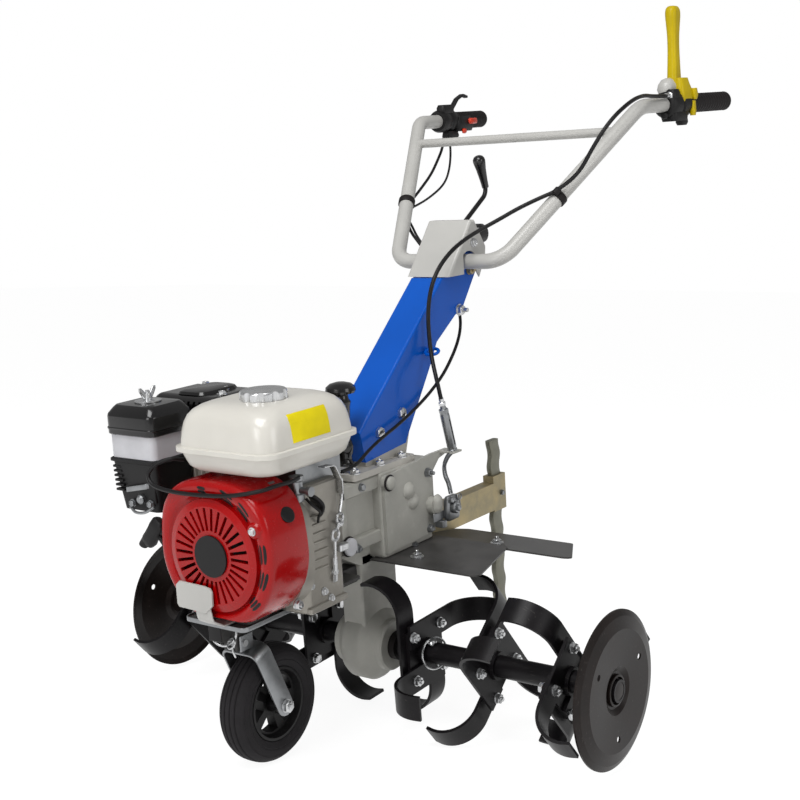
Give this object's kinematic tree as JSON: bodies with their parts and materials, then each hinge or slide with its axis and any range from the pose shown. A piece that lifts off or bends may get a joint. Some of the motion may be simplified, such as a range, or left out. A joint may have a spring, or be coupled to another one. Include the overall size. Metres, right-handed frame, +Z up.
{
  "type": "rotary tiller",
  "caption": "Walk-behind rotary tiller: petrol engine over a gear case, bladed rotor with end discs, folding front wheel, rear depth spur and a tilting handlebar.",
  "frame": {"origin": "on the floor under the middle of the machine's bounding box, as it stands on its tines and front wheel", "axes": "+X forward, towards the engine and the front wheel; +Y to the machine's left, the clutch lever side; +Z up"},
  "size_m": [1.1574, 0.901, 1.1912],
  "materials": {
    "black_paint": "satin",
    "black_plastic": "gloss",
    "black_rubber": "matte",
    "blue_paint": "gloss",
    "bright_steel": "polished",
    "cable_sheath": "satin",
    "cast_grey": "cast",
    "dark_grey_paint": "satin",
    "engine_metal": "cast",
    "grey_paint": "gloss",
    "matte_black": "matte",
    "milky_plastic": "satin",
    "red_paint": "gloss",
    "tyre_rubber": "matte",
    "white_paint": "gloss",
    "yellow_plastic": "gloss",
    "zinc_steel": "zinc plated"
  },
  "bodies": {
    "machine": {"air_cleaner_band": "milky_plastic", "air_cleaner_base": "black_plastic", "air_cleaner_lid": "black_plastic", "axle_seal_left": "black_rubber", "axle_seal_right": "black_rubber", "bumper": "grey_paint", "cable_adjuster": "bright_steel", "case_side_plate": "cast_grey", "clutch_cable": "cable_sheath", "clutch_link": "zinc_steel", "column": "blue_paint", "column_cover": "grey_paint", "column_foot": "cast_grey", "engine_block": "engine_metal", "engine_plate": "dark_grey_paint", "fan_cover": "red_paint", "fender_left_front": "dark_grey_paint", "fender_left_rear": "dark_grey_paint", "fender_right_front": "dark_grey_paint", "fender_right_rear": "dark_grey_paint", "flywheel": "matte_black", "fold_pin": "bright_steel", "fuel_cap": "bright_steel", "fuel_tank": "white_paint", "gear_case": "cast_grey", "gear_lever": "black_paint", "gear_lever_grip": "black_plastic", "muffler_guard": "dark_grey_paint", "rear_hitch": "zinc_steel", "recoil_badge": "black_plastic", "recoil_cover": "red_paint", "selector_knob": "black_plastic", "starter_handle": "black_plastic", "tank_bracket": "zinc_steel", "throttle_cable": "cable_sheath", "wheel_tube": "dark_grey_paint"},
    "rotor": {"drive_axle": "zinc_steel", "guard_disc_left": "black_paint", "guard_disc_right": "black_paint", "tine_set_left_1": "black_paint", "tine_set_left_2": "black_paint", "tine_set_left_3": "black_paint", "tine_set_right_1": "black_paint", "tine_set_right_2": "black_paint", "tine_set_right_3": "black_paint", "tine_shaft_left": "black_paint", "tine_shaft_right": "black_paint"},
    "wheel_arm": {"wheel_bolt": "bright_steel", "wheel_fork": "zinc_steel"},
    "front_wheel": {"wheel_rim": "matte_black", "wheel_tyre": "tyre_rubber"},
    "handlebar_body": {"clutch_housing": "black_plastic", "clutch_lever": "yellow_plastic", "grip_left": "black_rubber", "grip_right": "black_rubber", "handlebar": "grey_paint", "throttle_housing": "black_plastic", "throttle_lever": "black_plastic"},
    "spur": {"depth_spur": "zinc_steel"}
  },
  "joints": [
    {"name": "tine_spin", "type": "hinge", "parent": "machine", "child": "rotor", "pos_m": [0.15629, 0, 0.125], "axis": [0, 1, 0], "continuous": true},
    {"name": "wheel_fold", "type": "hinge", "parent": "machine", "child": "wheel_arm", "pos_m": [0.47704, 0, 0.19622], "axis": [0, 1, 0], "range_deg": [-95, 0]},
    {"name": "wheel_spin", "type": "hinge", "parent": "wheel_arm", "child": "front_wheel", "pos_m": [0.41, 0, 0.0894], "axis": [0, 1, 0], "continuous": true},
    {"name": "handle_tilt", "type": "hinge", "parent": "machine", "child": "handlebar_body", "pos_m": [-0.05712, 0, 0.74048], "axis": [0, 1, 0], "range_deg": [-18, 18], "deforming": ["clutch_cable", "throttle_cable"]},
    {"name": "spur_slide", "type": "slide", "parent": "machine", "child": "spur", "axis": [0.1002, 0, 0.995], "range_m": [-0.03, 0.09]}
  ]
}
